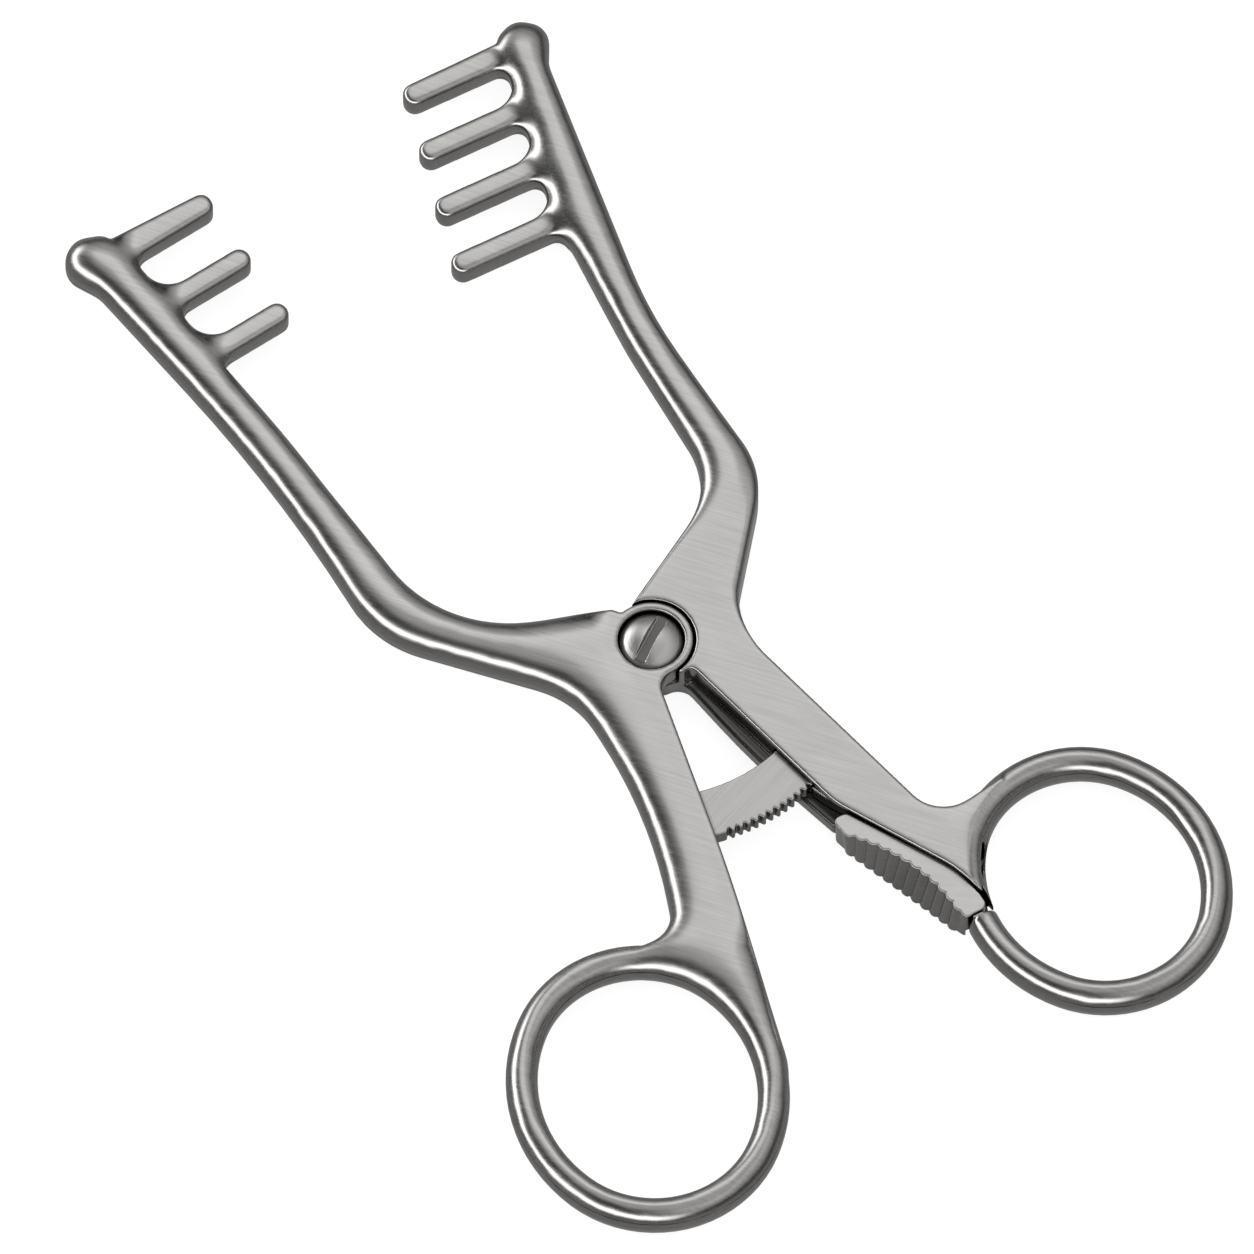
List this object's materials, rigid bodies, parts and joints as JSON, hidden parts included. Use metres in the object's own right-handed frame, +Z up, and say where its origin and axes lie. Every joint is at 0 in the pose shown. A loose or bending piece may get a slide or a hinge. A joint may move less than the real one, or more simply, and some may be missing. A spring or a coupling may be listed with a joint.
{
  "type": "self retaining retractor",
  "caption": "Two hinged forged arms with blunt rake prongs and finger rings, held apart by a curved ratchet bar with a thumb release lever.",
  "frame": {"origin": "on the joint's axis, in the plane of the arms' undersides", "axes": "+Y from the joint towards the rakes, +X towards the arm with four prongs, +Z up through the joint to the screw's slotted head"},
  "size_m": [0.0807, 0.1326, 0.0057],
  "materials": {
    "satin_steel": "satin, finely brushed along the arms",
    "screw_steel": "turned, satin",
    "bar_steel": "machined, satin"
  },
  "bodies": {
    "right_half": {"right_arm": "satin_steel", "joint_screw": "screw_steel", "lever_pin": "screw_steel", "leaf_spring": "bar_steel", "spring_screw": "screw_steel"},
    "left_half": {"left_arm": "satin_steel", "ratchet_bar": "bar_steel", "ratchet_rivets": "screw_steel"},
    "thumb_lever": {"release_lever": "bar_steel"}
  },
  "joints": [
    {"name": "arm_hinge", "type": "hinge", "parent": "right_half", "child": "left_half", "pos_m": [0, 0, 0.0025], "axis": [0, 0, 1], "range_deg": [-15.43, 11.02]},
    {"name": "lever_hinge", "type": "hinge", "parent": "right_half", "child": "thumb_lever", "pos_m": [0.01398, -0.03393, 0.003], "axis": [0, 0, 1], "range_deg": [0, 3.5], "stiffness_Nm_per_rad": 0.05, "springref_deg": -5.73, "deforming": ["leaf_spring"]}
  ]
}
